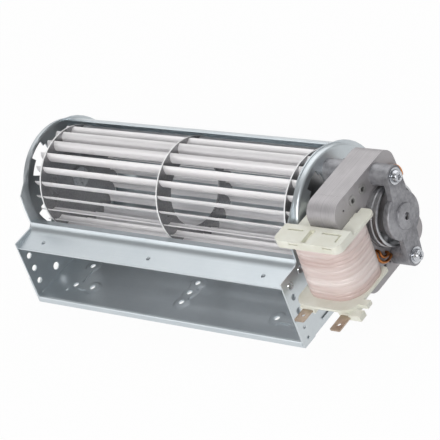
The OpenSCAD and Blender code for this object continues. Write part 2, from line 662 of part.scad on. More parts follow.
// Fasteners
module cross_head(r, h) {
    difference() {
        cylinder(h = h, r1 = r, r2 = r * 0.8, $fn = 32);
        for (a = [45, 135]) rotate(a) translate([-r * 0.5, -0.45, h * 0.45]) cube([r, 0.9, h]);
    }
}
washer_r = 4.4;
bracket_washer_t = 0.7;
bracket_head = [3.4, 2.4];      // radius and height of the long screws' heads
motor_head = [2.7, 1.8];
module bracket_screws() color("#c9ccd0") {
    for (p = bracket_screw_at) turned(0) translate([p.x, p.y, 0]) {
        translate([0, 0, core_x0 - bracket_h + 1.5])
            cylinder(h = core_t + 2 * bracket_h - 1.5 + bracket_washer_t, r = screw_r, $fn = 32);
        translate([0, 0, bracket_x1 + bracket_washer_t]) cross_head(bracket_head[0], bracket_head[1]);
    }
}
module bracket_washers() color("#d2d5d8") {
    for (p = bracket_screw_at) turned(bracket_x1) translate([p.x, p.y, 0]) difference() {
        cylinder(h = bracket_washer_t, r = washer_r, $fn = 32);
        translate([0, 0, -1]) cylinder(h = bracket_washer_t + 2, r = screw_r + seat, $fn = 32);
    }
}
module motor_screws() color("#c9ccd0") {
    for (p = motor_screw_at) turned(cup_in) translate([p.x, p.y, 0]) {
        cylinder(h = motor_screw_len, r = motor_screw_r, $fn = 32);
        mirror([0, 0, 1]) cross_head(motor_head[0], motor_head[1]);
    }
}

// Rotor and shaft
hub_x = half_fan - 13;
shaft_end = bracket_x1 + pilot_h - pilot_skin - 0.3;
rotor_ring_h = 6.2;
rotor_bead_h = 3;
module motor_shaft() color("#c4c6c9") {
    turned(hub_x) rotate_extrude() polygon([
        [0, 0], [shaft_r - 0.5, 0], [shaft_r, 0.5], [shaft_r, shaft_end - hub_x - 0.4],
        [shaft_r - 0.4, shaft_end - hub_x], [0, shaft_end - hub_x]]);
}
module rotor_core() color("#8d8c89") { tube(core_x0, core_t, rotor_r, shaft_r); }
// Cast ends of the rotor's cage: a thin beaded wall round a hollow with pegs in it
module rotor_end_rings() color("#c9cacb") {
    for (side = [0, 1]) turned(side ? core_x1 : core_x0) mirror([0, 0, 1 - side]) {
        rotate_extrude() polygon([
            [rotor_r - 6, 0], [rotor_r - 0.4, 0], [rotor_r - 0.4, rotor_bead_h - 0.5],
            [rotor_r, rotor_bead_h], [rotor_r - 0.4, rotor_bead_h + 0.5],
            [rotor_r - 0.4, rotor_ring_h - 0.3], [rotor_r - 0.7, rotor_ring_h],
            [rotor_r - 1.6, rotor_ring_h], [rotor_r - 2.2, 1.6], [rotor_r - 6, 1.6]]);
        for (i = [0 : 7]) rotate(i * 45 + 14) translate([rotor_r - 5.2, -0.8, 1.6 - eps])
            cube([2.4, 1.6, 2]);
    }
}
module thrust_washers() color("#e6e1cf") {
    tube(-bush_x + end_play / 3, washer_t, 5, shaft_r + fit);
    in_face = core_x0 - bracket_h - pilot_h + pilot_skin + bush_t;
    tube(in_face + end_play / 3, washer_t, 5, shaft_r + fit);
    out_face = bracket_x1 + pilot_h - pilot_skin - bush_t;
    tube(out_face - end_play / 3 - washer_t, washer_t, 5, shaft_r + fit);
}

scroll_sheet();
lip_plate();
left_end_plate();
right_end_plate();
lip_rivets();
left_grommet();
left_bush();
impeller_blades();
left_end_disc();
middle_ring();
right_end_disc();
left_stub_shaft();
right_hub();
motor_shaft();
rotor_core();
rotor_end_rings();
thrust_washers();
stator_yoke();
coil_core();
shading_rings();
bobbin();
coil_winding();
terminal_tabs();
inner_bracket();
outer_bracket();
inner_bush();
outer_bush();
bracket_screws();
bracket_washers();
motor_screws();
stack_rivets();
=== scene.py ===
# %% [markdown]
# # A tangential cooling blower, dressed for its portrait
#
# The object is a small cross-flow blower: a drum of thin blades turns in a folded sheet
# housing, and a shaded-pole motor drives it from the right-hand end. The exact solids come
# packed from the CAD source. They could be modelled again here, but their sizes are right
# already, so this script mostly gives each one the surface that the real piece has. It
# makes anew only what a plain solid can't give, the taped coil and the copper loops, and
# puts copies with rounded edges in the place of the moulded, cast and punched pieces.
#
# The CAD frame is loaded first. Its pieces are never moved, because every other piece is
# placed against them.

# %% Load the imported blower
import json
import math
import random

import bmesh
import bpy
from mathutils import Matrix, Vector

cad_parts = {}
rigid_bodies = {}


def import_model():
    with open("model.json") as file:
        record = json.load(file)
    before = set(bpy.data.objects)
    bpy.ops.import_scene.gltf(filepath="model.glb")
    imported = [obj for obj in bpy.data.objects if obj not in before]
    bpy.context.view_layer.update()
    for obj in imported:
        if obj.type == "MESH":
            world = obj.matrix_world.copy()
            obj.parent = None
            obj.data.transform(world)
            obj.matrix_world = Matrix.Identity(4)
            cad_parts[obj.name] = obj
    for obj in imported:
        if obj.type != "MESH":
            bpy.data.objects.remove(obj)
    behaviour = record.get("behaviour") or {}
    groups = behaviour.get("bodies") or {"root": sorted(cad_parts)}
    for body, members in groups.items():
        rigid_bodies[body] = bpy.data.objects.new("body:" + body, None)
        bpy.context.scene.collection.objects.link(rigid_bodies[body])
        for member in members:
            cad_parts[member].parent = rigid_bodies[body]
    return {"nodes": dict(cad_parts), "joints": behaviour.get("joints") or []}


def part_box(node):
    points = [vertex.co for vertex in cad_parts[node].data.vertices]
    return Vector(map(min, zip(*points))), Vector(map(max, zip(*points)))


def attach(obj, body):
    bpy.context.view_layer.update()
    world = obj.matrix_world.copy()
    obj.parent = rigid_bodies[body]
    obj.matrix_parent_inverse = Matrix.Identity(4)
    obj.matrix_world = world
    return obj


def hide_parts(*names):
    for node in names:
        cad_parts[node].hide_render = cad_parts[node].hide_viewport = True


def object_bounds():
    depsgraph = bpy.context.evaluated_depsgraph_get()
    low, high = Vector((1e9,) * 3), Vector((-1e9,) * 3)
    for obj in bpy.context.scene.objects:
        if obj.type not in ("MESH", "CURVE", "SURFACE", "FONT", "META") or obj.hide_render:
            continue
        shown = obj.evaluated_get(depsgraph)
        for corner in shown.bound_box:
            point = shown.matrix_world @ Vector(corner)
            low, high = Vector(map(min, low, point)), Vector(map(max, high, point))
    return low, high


bpy.ops.object.select_all(action="SELECT")
bpy.ops.object.delete()                     # whatever a new file starts with
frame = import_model()
cad_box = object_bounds()
nodes = frame["nodes"]
MM = 0.001
AXIS_Z = frame["joints"][0]["pos_m"][2]
print(f"{len(nodes)} CAD pieces, the shaft's axis at {AXIS_Z / MM:.1f} mm above the floor sheet")

# %% [markdown]
# ## The camera
#
# The blower was seen from its motor end while it leaned on its back, through a long lens
# that keeps the drum's rings nearly round. Such a view can be found by nudging a camera
# until the picture fits. Here it was fitted once to the drum's rings and the housing's long
# edges, and is kept as two angles, a distance and an aim, because each of them can be
# checked by itself. They hold for the upright photograph, and are then turned about the
# drum's axis by the lean, so in the level CAD frame the camera stands higher and rolls.

# %% Place the camera
VIEW_AZIMUTH = math.radians(42.6)
VIEW_ELEVATION = math.radians(8.1)
LEAN = math.radians(-34)
VIEW_DISTANCE = 1.172
LENS_MM = 180
NEAR_LIMIT = 0.1                            # nothing nearer than this is drawn
AIM = Vector((0.0184, 0, -0.0141))          # from the middle of the drum's axis

to_camera = Vector((math.sin(VIEW_AZIMUTH) * math.cos(VIEW_ELEVATION),
                    -math.cos(VIEW_AZIMUTH) * math.cos(VIEW_ELEVATION),
                    math.sin(VIEW_ELEVATION)))
to_right = Vector((math.cos(VIEW_AZIMUTH), math.sin(VIEW_AZIMUTH), 0))
lean = Matrix.Rotation(LEAN, 3, "X")
axes = Matrix((lean @ to_right, lean @ to_camera.cross(to_right), lean @ to_camera)).transposed()
place = lean @ (AIM + to_camera * VIEW_DISTANCE) + Vector((0, 0, AXIS_Z))

bpy.ops.object.camera_add(location=place, rotation=axes.to_euler())
camera = bpy.context.object
camera.data.lens = LENS_MM
camera.data.clip_start = NEAR_LIMIT
bpy.context.scene.camera = camera
print("camera at", [round(c, 4) for c in camera.location])

# %% [markdown]
# ## A small language for shaders
#
# A finish is a sum of masks and colours, and so is the light of the room. Written as nodes
# one by one, such a sum is hard to read, so a class wraps a node's socket and overloads the
# signs of arithmetic: each +, - or * adds the Math node for it. Every other node comes from
# one method that takes a node's type, its settings and its inputs.

# %% Wrap sockets, trees and materials
class Value:
    """A number that varies: the output socket of a node."""

    def __init__(self, tree, socket):
        self.tree = tree
        self.socket = socket

    def sum(self, operation, a, b):
        return self.tree.node("Math", {"operation": operation}, {0: a, 1: b})

    def __add__(self, other):
        return self.sum("ADD", self, other)

    def __radd__(self, other):
        return self.sum("ADD", other, self)

    def __sub__(self, other):
        return self.sum("SUBTRACT", self, other)

    def __rsub__(self, other):
        return self.sum("SUBTRACT", other, self)

    def __mul__(self, other):
        return self.sum("MULTIPLY", self, other)

    def __rmul__(self, other):
        return self.sum("MULTIPLY", other, self)

    def at_least(self, other):
        return self.sum("MAXIMUM", self, other)


class Tree:
    """The nodes of a material, or of the room."""

    def __init__(self, tree):
        self.tree = tree

    def node(self, kind, settings=None, values=None, out=0):
        """Adds a node, sets it up, feeds its sockets and gives back one of its outputs."""
        made = self.tree.nodes.new("ShaderNode" + kind)
        for key, value in (settings or {}).items():
            setattr(made, key, value)
        for socket, value in (values or {}).items():
            if isinstance(value, Value):
                self.tree.links.new(value.socket, made.inputs[socket])
            else:
                made.inputs[socket].default_value = value
        return Value(self, made.outputs[out])

    def span(self, value, low, high, to_low, to_high):
        """Maps low..high to to_low..to_high. Most noise lies between 0.3 and 0.7."""
        return self.node("MapRange", {}, {0: value, 1: low, 2: high, 3: to_low, 4: to_high})


class Finish(Tree):
    """A material under construction, with its shader's plain values given by name."""

    def __init__(self, name, **plain):
        self.material = bpy.data.materials.new(name)
        self.material.use_nodes = True
        super().__init__(self.material.node_tree)
        self.shader = self.tree.nodes["Principled BSDF"]
        self.place = self.node("TexCoord", out="Object")
        for name, value in plain.items():
            self.socket(name).default_value = value

    def socket(self, name):
        """The shader's own socket, such as Base Color for base_color."""
        return self.shader.inputs[name.replace("_", " ").title()]

    def feed(self, **values):
        """Links values to the shader's sockets."""
        for name, value in values.items():
            self.tree.links.new(value.socket, self.socket(name))

    def stretched(self, x, y, z):
        """Object coordinates times a number along each axis, in repeats per metre."""
        return self.node("Mapping", {"vector_type": "POINT"},
                         {"Vector": self.place, "Scale": (x, y, z)})

    def noise(self, where, scale=1.0, detail=4.0, rough=0.55):
        return self.node("TexNoise", {}, {"Vector": where, "Scale": scale, "Detail": detail,
                                          "Roughness": rough})

    def mix(self, share, a, b):
        """A colour between a and b."""
        return self.node("Mix", {"data_type": "RGBA"}, {0: share, 6: a, 7: b}, out=2)

    def bump(self, height, depth):
        """Feeds the shader's normal with a relief of this depth in metres."""
        self.feed(normal=self.node("Bump", {}, {"Height": height, "Distance": depth,
                                                "Strength": 1.0}))


def paint(red, green, blue):
    """A colour picked as it looks on screen, 0 to 255, as the shader wants it."""
    def linear(c):
        c /= 255
        return c / 12.92 if c <= 0.04045 else ((c + 0.055) / 1.055) ** 2.4
    return (linear(red), linear(green), linear(blue), 1.0)


print("mid grey reads", round(paint(128, 128, 128)[0], 3))

# %% [markdown]
# ## Light
#
# Bare metal shows the room more than it shows its own colour, and what room the real
# blower mirrored isn't known. A picture of some room could be wrapped round the scene, but
# a few numbers are easier to tune and need no file. The room is plain white to the
# camera. To mirror-like rays it is a pale ceiling over dimmer walls, which gives the folded
# sheet its long gradients. The rays that light the surfaces get much less of it, so that
# the drum's inside stays dark. The ceiling stands over the photograph's upright, not over
# the frame's, because the blower leaned on its back.
#
# Four soft panels then shape the blower: a broad one overhead, a key from behind the left
# end, one from the camera's side, and a low one in front that draws the light line along
# the lip's crest.

# %% Build the studio
UPRIGHT = lean @ Vector((0, 0, 1))
WALL_SHINE = 0.09
CEILING_SHINE = 0.5
WALL_TOP, CEILING_EDGE = -0.35, 0.85        # how steeply a ray rises, from -1 to 1
ROOM_LIGHT = 0.08
WHITE = (1, 1, 1, 1)

world = bpy.data.worlds.new("studio")
world.use_nodes = True
bpy.context.scene.world = world
bpy.context.scene.view_settings.view_transform = "Standard"

room = Tree(world.node_tree)
seen = room.node("LightPath", out="Is Camera Ray").at_least(
    room.node("LightPath", out="Is Transmission Ray"))
rise = room.node("VectorMath", {"operation": "DOT_PRODUCT"},
                 {0: room.node("TexCoord", out="Generated"), 1: UPRIGHT}, out="Value")
shine = room.span(rise, WALL_TOP, CEILING_EDGE, WALL_SHINE, CEILING_SHINE)
mirrored = room.node("LightPath", out="Is Glossy Ray") * shine
strength = seen.at_least(mirrored).at_least(ROOM_LIGHT)
background = world.node_tree.nodes["Background"]
background.inputs["Color"].default_value = WHITE
world.node_tree.links.new(strength.socket, background.inputs["Strength"])
print("a white room, mirrored at", WALL_SHINE, "to", CEILING_SHINE)

# %% Hang the panels
OVERHEAD = 16                               # all four in watts
KEY = 3.5
FILL = 16
LOW_FRONT = 4.3


def panel(name, away, size, watts):
    """A soft square light that looks at the drum's middle, given by its place from there."""
    away = Vector(away)
    bpy.ops.object.light_add(type="AREA", location=Vector((0, 0, AXIS_Z)) + away,
                             rotation=away.to_track_quat("Z", "Y").to_euler())
    lamp = bpy.context.object
    lamp.name = name
    lamp.data.size = size
    lamp.data.energy = watts
    print(f"{name}: {watts} W from {size} m, {away.length:.2f} m away")


panel("overhead_light", UPRIGHT * 1.5, 2.2, OVERHEAD)
panel("key_light", (-0.95, 0.5, 1.0), 1.5, KEY)
panel("camera_side_light", (0.7, -1.3, 0.85), 0.7, FILL)
panel("low_front_light", (-0.9, -1.2, 0.25), 0.9, LOW_FRONT)

# %% [markdown]
# ## Galvanised sheet
#
# The housing is folded from zinc-coated steel. The coat is blue-grey and satin, with a
# faint cloud of crystals and fine rolling lines along the strip. It could be a picture
# laid over each sheet, but that would need unwrapping and blur close up. Patterns on object
# coordinates run on from sheet to sheet: Voronoi cells give the crystals' steps in
# brightness, and noise stretched along X gives the lines.

# %% Mix the galvanised coat
def galvanised(name, light, dark, roughness):
    coat = Finish(name, metallic=0.85)
    crystal = coat.node("TexVoronoi", {"feature": "F1"},
                        {"Vector": coat.place, "Scale": 420.0, "Randomness": 1.0}, out="Color")
    crystal = coat.node("SeparateColor", {}, {0: crystal})
    cloud = coat.noise(coat.place, 28.0, 3.0, 0.5)
    lines = coat.noise(coat.stretched(20, 1300, 1300), 1.0, 3.0, 0.5)
    tone = crystal * 0.06 + cloud * 0.74 + lines * 0.2
    coat.feed(base_color=coat.mix(coat.span(tone, 0.3, 0.7, 0, 1), dark, light),
              roughness=coat.span(tone, 0.3, 0.7, roughness + 0.02, roughness - 0.02))
    coat.bump(lines, 0.005 * MM)
    return coat.material


housing_coat = galvanised("galvanised_housing", paint(206, 213, 217), paint(195, 203, 208), 0.33)
plate_coat = galvanised("galvanised_plate", paint(206, 212, 215), paint(193, 200, 204), 0.36)
print("galvanised coats:", housing_coat.name, plate_coat.name)

# %% [markdown]
# ## Blade strip
#
# The drum's blades look like coated aluminium strip: nearly white and satin, with very
# faint lengthwise streaks. Its discs look duller, and their rims catch a bright light line,
# which is painted on here as a near-white, hardly metallic band: a painted highlight. The
# rims could be faces with a material of their own, but the discs are CAD pieces, whose
# meshes stay as they are. So the distance from the drum's axis tells the painted rim
# highlight from the face, and one coat serves both.

# %% Mix the drum's coat
# Painted highlight: the discs' rims are coloured near-white and made hardly metallic, for the
# light line that they catch.
RIM_HIGHLIGHT_PAINT = paint(250, 250, 250)
RIM_HIGHLIGHT_METALLIC = 0.1
RIM_HIGHLIGHT_FROM, RIM_HIGHLIGHT_FULL = 0.3 * MM, 0.1 * MM     # inside the rim's edge


def strip_coat(name, light, dark, metallic, roughness, rim=None):
    coat = Finish(name, metallic=metallic)
    streaks = coat.noise(coat.stretched(12, 900, 900), 1.0, 3.0, 0.5)
    cloud = coat.noise(coat.place, 60.0, 3.0, 0.5)
    tone = streaks * 0.6 + cloud * 0.4
    colour = coat.mix(coat.span(tone, 0.35, 0.65, 0, 1), dark, light)
    if rim:
        # The painted rim highlight: a band just inside the rim that fades in to near-white and
        # hardly metallic.
        across = coat.node("VectorMath", {"operation": "MULTIPLY_ADD"},
                           {0: coat.place, 1: (0, 1, 1), 2: (0, 0, -AXIS_Z)})
        reach = coat.node("VectorMath", {"operation": "LENGTH"}, {0: across}, out="Value")
        rim_highlight = coat.span(reach, rim - RIM_HIGHLIGHT_FROM, rim - RIM_HIGHLIGHT_FULL, 0, 1)
        colour = coat.mix(rim_highlight, colour, RIM_HIGHLIGHT_PAINT)
        coat.feed(metallic=metallic * (1 - rim_highlight) + RIM_HIGHLIGHT_METALLIC * rim_highlight)
    coat.feed(base_color=colour,
              roughness=coat.span(cloud, 0.3, 0.7, roughness - 0.04, roughness + 0.06))
    coat.bump(streaks, 0.01 * MM)
    return coat.material


DRUM_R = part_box("middle_ring")[1].y
blade_coat = strip_coat("drum_blade_strip", paint(252, 250, 251), paint(242, 240, 241), 0.3, 0.38)
disc_coat = strip_coat("drum_disc_strip", paint(160, 160, 161), paint(138, 138, 140), 0.8, 0.3,
                       rim=DRUM_R)
print(f"drum coats: {blade_coat.name}, {disc_coat.name}, rim at {DRUM_R / MM:.1f} mm")

# %% [markdown]
# ## Lamination edges
#
# The motor's core is a pack of thin steel sheets. From the side each sheet's cut edge
# shows as a line. Modelling every sheet would take many faces for lines that the picture
# can barely hold, so a wave along the shaft draws them, one to the millimetre, where such
# sheets are mostly half as thick. A slow noise breaks them up into the light and dark
# sheets of a real stack. On the pack's faces the wave is constant and leaves only blotches.

# %% Mix the core's steel
SHEET_WAVE = 314.0                          # one line to the millimetre


def laminated(name, light, dark):
    steel = Finish(name, metallic=0.55)
    sheets = steel.node("TexWave", {"bands_direction": "X"},
                        {"Vector": steel.place, "Scale": SHEET_WAVE, "Distortion": 0.0})
    batch = steel.noise(steel.stretched(1500, 5, 5), 1.0, 2.0, 0.5)
    blotch = steel.noise(steel.place, 90.0, 4.0, 0.55)
    tone = batch * 0.3 + blotch * 0.6 + sheets * 0.1
    steel.feed(base_color=steel.mix(steel.span(tone, 0.3, 0.7, 0, 1), dark, light),
               roughness=steel.span(blotch, 0.3, 0.7, 0.45, 0.58))
    steel.bump(sheets * 0.5 + batch * 0.5, 0.05 * MM)
    return steel.material


core_steel = laminated("lamination_steel", paint(194, 191, 193), paint(160, 157, 159))
print("core steel:", core_steel.name)

# %% [markdown]
# ## Cast zinc, copper, screws and bearings
#
# The brackets look die cast: mottled mid-grey with a slightly leathery skin. The copper
# loops, bright screws, turned steel and sintered bushes differ from them only in colour,
# gloss and grain. Each could have a material built for it, but one recipe with other
# numbers does for all: a metal whose tone and roughness drift over a millimetre or two.

# %% Mix the cast and turned metals
def metal(name, light, dark, roughness, grain, depth, metallic=1.0):
    made = Finish(name, metallic=metallic)
    speck = made.noise(made.place, grain, 5.0, 0.62)
    drift = made.noise(made.place, grain / 6, 2.0, 0.5)
    tone = speck * 0.5 + drift * 0.5
    made.feed(base_color=made.mix(made.span(tone, 0.38, 0.62, 0, 1), dark, light),
              roughness=made.span(speck, 0.3, 0.7, roughness - 0.06, roughness + 0.08))
    made.bump(speck, depth)
    return made.material


cast_zinc = metal("cast_zinc", paint(168, 168, 172), paint(124, 124, 128),
                  0.5, 500.0, 0.12 * MM, 0.6)
copper = metal("bare_copper", paint(204, 136, 82), paint(146, 88, 46),
               0.34, 300.0, 0.03 * MM)
bright_zinc = metal("bright_zinc", paint(208, 210, 214), paint(164, 167, 172),
                    0.22, 700.0, 0.02 * MM)
turned_steel = metal("turned_steel", paint(200, 201, 203), paint(168, 169, 171),
                     0.3, 600.0, 0.02 * MM)
rivet_steel = metal("tube_rivet_steel", paint(178, 177, 176), paint(154, 153, 152),
                    0.48, 250.0, 0.01 * MM, 0.6)
cast_rotor = metal("cast_rotor", paint(206, 207, 209), paint(168, 169, 171),
                   0.34, 400.0, 0.05 * MM)
sintered = metal("sintered_bronze", paint(150, 120, 84), paint(112, 86, 58),
                 0.55, 900.0, 0.04 * MM)
tin_plate = metal("tin_plate", paint(186, 170, 154), paint(150, 134, 120),
                  0.34, 350.0, 0.03 * MM)
print("eight metals")

# %% [markdown]
# ## Moulded plastic, tape and rubber
#
# The bobbin looks like cream nylon with a soft sheen. The coil wears a thin pinkish tape
# whose wraps crease in near-level lines. All the lines could be modelled, but only the
# deep ones change the outline, and they come with the coil's shape below. The fine
# wrinkles are noise stretched along the level direction, in colour, gloss and relief.

# %% Mix the plastics
def moulded(name, light, dark, roughness):
    made = Finish(name)
    drift = made.noise(made.place, 90.0, 3.0, 0.5)
    grain = made.noise(made.place, 1800.0, 2.0, 0.5)
    made.feed(base_color=made.mix(made.span(drift, 0.35, 0.65, 0, 1), dark, light),
              roughness=made.span(grain, 0.3, 0.7, roughness - 0.05, roughness + 0.06))
    made.bump(grain, 0.02 * MM)
    return made.material


bobbin_nylon = moulded("bobbin_nylon", paint(238, 238, 227), paint(226, 225, 211), 0.42)
washer_nylon = moulded("washer_nylon", paint(232, 226, 206), paint(216, 210, 190), 0.45)
rubber = moulded("grommet_rubber", paint(42, 42, 43), paint(28, 28, 29), 0.6)

tape = Finish("coil_tape", coat_weight=0.25, coat_roughness=0.25)
creases = tape.noise(tape.stretched(22, 22, 420), 1.0, 4.0, 0.55)
wraps = tape.noise(tape.stretched(6, 6, 150), 1.0, 2.0, 0.5)
blush = tape.span(wraps * 0.55 + creases * 0.45, 0.36, 0.62, 0, 1)
tape.feed(base_color=tape.mix(blush, paint(206, 182, 176), paint(238, 226, 222)),
          roughness=tape.span(creases, 0.3, 0.7, 0.34, 0.52))
tape.bump(creases * 0.6 + wraps * 0.4, 0.6 * MM)
print("three moulded plastics and the tape")

# %% [markdown]
# ## Finishes for the CAD pieces
#
# Most CAD solids already have the real piece's shape, so a finish is all that they need,
# and a table of coats is the shortest way to give it. The pieces that get a rounded copy
# further down are painted too, which keeps every solid in its own colour if the copy is
# ever left out.

# %% Paint the CAD pieces
wears = {
    housing_coat: ["scroll_sheet", "lip_plate"],
    plate_coat: ["left_end_plate", "right_end_plate"],
    blade_coat: ["impeller_blades"],
    disc_coat: ["left_end_disc", "middle_ring", "right_end_disc"],
    core_steel: ["stator_yoke", "coil_core", "rotor_core"],
    cast_zinc: ["inner_bracket", "outer_bracket"],
    copper: ["shading_rings"],
    bright_zinc: ["bracket_screws", "bracket_washers", "motor_screws", "lip_rivets"],
    turned_steel: ["motor_shaft", "left_stub_shaft", "right_hub"],
    rivet_steel: ["stack_rivets"],
    cast_rotor: ["rotor_end_rings"],
    sintered: ["left_bush", "inner_bush", "outer_bush"],
    tin_plate: ["terminal_tabs"],
    bobbin_nylon: ["bobbin"],
    washer_nylon: ["thrust_washers"],
    rubber: ["left_grommet"],
    tape.material: ["coil_winding"],
}
for material, names in wears.items():
    for name in names:
        nodes[name].data.materials.clear()
        nodes[name].data.materials.append(material)
print(sum(len(names) for names in wears.values()), "pieces painted")

# %% [markdown]
# ## Working by hand
#
# A new piece starts as a primitive of its own size at its own place, and is then shaped in
# edit mode. It could be written down as a list of corners and faces instead, but nobody
# could read the shape from that. A few helpers stand for what the hand does: begin a piece,
# pick some of its edges by where they are, put a modifier on it, and finish it with its
# coat. The place is put into the mesh straight away, so a pattern on
# object coordinates stays put.

# %% Helpers for modelling
def begin(name, add, stretch=(1, 1, 1), **where):
    """Adds a primitive, fixes its size and place in its mesh and opens it for editing."""
    bpy.ops.object.select_all(action="DESELECT")
    add(**where)
    piece = bpy.context.object
    piece.name = piece.data.name = name
    piece.scale = stretch
    bpy.ops.object.transform_apply(location=True, rotation=True, scale=True)
    bpy.ops.object.mode_set(mode="EDIT")
    return piece


def pick_edges(piece, test):
    """Selects the edges that pass the test, and counts them."""
    bpy.ops.mesh.select_mode(type="EDGE")
    bpy.ops.mesh.select_all(action="DESELECT")
    mesh = bmesh.from_edit_mesh(piece.data)
    chosen = [edge for edge in mesh.edges if test(edge)]
    for edge in chosen:
        edge.select_set(True)
    bmesh.update_edit_mesh(piece.data)
    return len(chosen)


def modify(piece, kind, **settings):
    """Adds a modifier with these settings and applies it."""
    bpy.ops.object.mode_set(mode="OBJECT")
    bpy.context.view_layer.objects.active = piece
    modifier = piece.modifiers.new(kind.lower(), kind)
    for key, value in settings.items():
        setattr(modifier, key, value)
    bpy.ops.object.modifier_apply(modifier=modifier.name)


def open_edges(piece):
    """Counts the edges that don't have exactly two faces: none on a closed shape."""
    mesh = bmesh.new()
    mesh.from_mesh(piece.data)
    count = sum(len(edge.link_faces) != 2 for edge in mesh.edges)
    mesh.free()
    return count


def finish_piece(piece, coat, body, stands_for, smooth=35):
    """Smooths a piece, gives it its coat, hangs it on the body that carries it and hides the CAD
    piece it stands for.
    """
    bpy.ops.object.select_all(action="DESELECT")
    piece.select_set(True)
    bpy.context.view_layer.objects.active = piece
    bpy.ops.object.shade_smooth_by_angle(angle=math.radians(smooth))
    piece.data.materials.clear()
    piece.data.materials.append(coat)
    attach(piece, body)
    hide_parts(stands_for)
    print(f"{piece.name}: {len(piece.data.polygons)} faces, {open_edges(piece)} open edges")


yoke_low, yoke_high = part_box("stator_yoke")
print("the motor's core is", round((yoke_high.x - yoke_low.x) / MM, 1), "mm thick")

# %% [markdown]
# ## The taped coil
#
# The coil is copper wire on the bobbin, wrapped in thin tape. The wraps pull into
# near-level creases, and the whole coil leans by almost seven degrees. Simulated cloth
# could pull such creases, but it takes time and lays them where it likes, while cuts put
# each one where it is wanted. So a block gets its four corners bevelled, is leaned about
# the shaft and cut level under the flanges. Each crease is a narrow band that three cuts
# mark out, whose middle is then drawn inwards, and a fourth cut below it swells the tape.
# Last, the core's leg takes its way out with its tube.

# %% Block out the coil
COIL_FRONT = -48.4 * MM                     # at the height of the shaft
COIL_BACK = -20.6 * MM
COIL_Y = (COIL_FRONT + COIL_BACK) / 2
COIL_CORNERS = (13 * MM, 8 * MM)            # front and rear
CORNER_FACES = 9
COIL_LEAN = math.radians(6.8)
coil_low, coil_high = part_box("coil_winding")
coil_h = coil_high.z - coil_low.z
CORE_X = (yoke_low.x + yoke_high.x) / 2


def is_upright(edge):
    run = edge.verts[1].co - edge.verts[0].co
    return abs(run.z) > 10 * max(abs(run.x), abs(run.y))


coil = begin("taped_coil", bpy.ops.mesh.primitive_cube_add,
             (coil_high.x - coil_low.x, COIL_BACK - COIL_FRONT, 2 * coil_h),
             size=1, location=(CORE_X, COIL_Y, AXIS_Z))
for rear, radius in zip((False, True), COIL_CORNERS):
    count = pick_edges(
        coil, lambda edge: is_upright(edge) and (edge.verts[0].co.y > COIL_Y) == rear)
    bpy.ops.mesh.bevel(offset=radius, segments=CORNER_FACES, affect="EDGES")
    print(count, "edges rounded to", round(radius / MM), "mm")
bpy.ops.mesh.select_all(action="SELECT")
bpy.ops.transform.rotate(value=COIL_LEAN, orient_axis="X", orient_type="GLOBAL",
                         center_override=(0, 0, AXIS_Z))
for level, outwards in ((coil_low.z, -1), (coil_high.z, 1)):
    bpy.ops.mesh.select_all(action="SELECT")
    bpy.ops.mesh.bisect(plane_co=(0, 0, level), plane_no=(0, 0, outwards),
                        use_fill=True, clear_outer=True)

# %% Crease the tape
CREASES = 11
CREASE_HALF = 0.42 * MM
CREASE_DEPTH = 0.34 * MM
SWELL = 0.1 * MM
UNEVEN = 0.18                               # how far a crease strays, in wraps
TILT_X, TILT_Y = 0.02, 0.03
SHALLOW, DEEP = 0.5, 1.2                    # times the depth
wrap = coil_h / (CREASES + 0.6)
rng = random.Random(5)

for k in range(CREASES):
    level = coil_low.z + wrap * (k + 0.8 + rng.uniform(-UNEVEN, UNEVEN))
    tilt = (rng.uniform(-TILT_X, TILT_X), rng.uniform(-TILT_Y, TILT_Y), 1)
    depth = CREASE_DEPTH * rng.uniform(SHALLOW, DEEP)
    for rise, pull in ((CREASE_HALF, 0), (-CREASE_HALF, 0), (0, -depth), (-wrap / 2, SWELL)):
        bpy.ops.mesh.select_all(action="SELECT")
        bpy.ops.mesh.bisect(plane_co=(CORE_X, COIL_Y, level + rise), plane_no=tilt)
        if pull:
            bpy.ops.transform.shrink_fatten(value=pull)
bpy.ops.object.mode_set(mode="OBJECT")
print(CREASES, "creases,", round(wrap / MM, 2), "mm apart")

# %% Clear the leg's way and finish the coil
TUBE_ROOM = 0.95 * MM                       # the bobbin's tube round the core's leg
LEG_T = 9 * MM
CUTTER_H = 80 * MM                          # well past both ends of the coil
leg_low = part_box("coil_core")[0]

tube = begin("tube_cutter", bpy.ops.mesh.primitive_cube_add,
             (yoke_high.x - yoke_low.x + 2 * TUBE_ROOM, LEG_T + 2 * TUBE_ROOM, CUTTER_H),
             size=1, location=(CORE_X, leg_low.y + LEG_T / 2, AXIS_Z))
modify(coil, "BOOLEAN", object=tube, operation="DIFFERENCE", solver="EXACT")
bpy.data.objects.remove(tube)
finish_piece(coil, tape.material, "housing", "coil_winding", smooth=50)
for i, axis in enumerate("xyz"):
    reach = [vertex.co[i] for vertex in coil.data.vertices]
    print(f"coil past its solid in {axis}: {(coil_low[i] - min(reach)) / MM:.2f} mm below,",
          f"{(max(reach) - coil_high[i]) / MM:.2f} mm above")

# %% [markdown]
# ## Softened edges
#
# Moulds, castings and punched sheets have no razor edges: a moulded edge is rounded by
# about a third of a millimetre, a casting's by more, and a punched one by a hair. Each
# piece could be modelled again with its rounds, but the CAD solids are right in shape. So
# a copy of each is merged into one clean mesh, its flat faces are joined again, and a
# bevel rounds what is left sharp. Its normals are then weighted by area, so that the flat
# faces stay flat in the light and only the narrow rounds shine as on the real pieces.

# %% Round the moulded, cast and punched pieces
WELD = 0.002 * MM                           # corners nearer than this are one
FLAT = math.radians(0.6)                    # faces that turn less than this are one


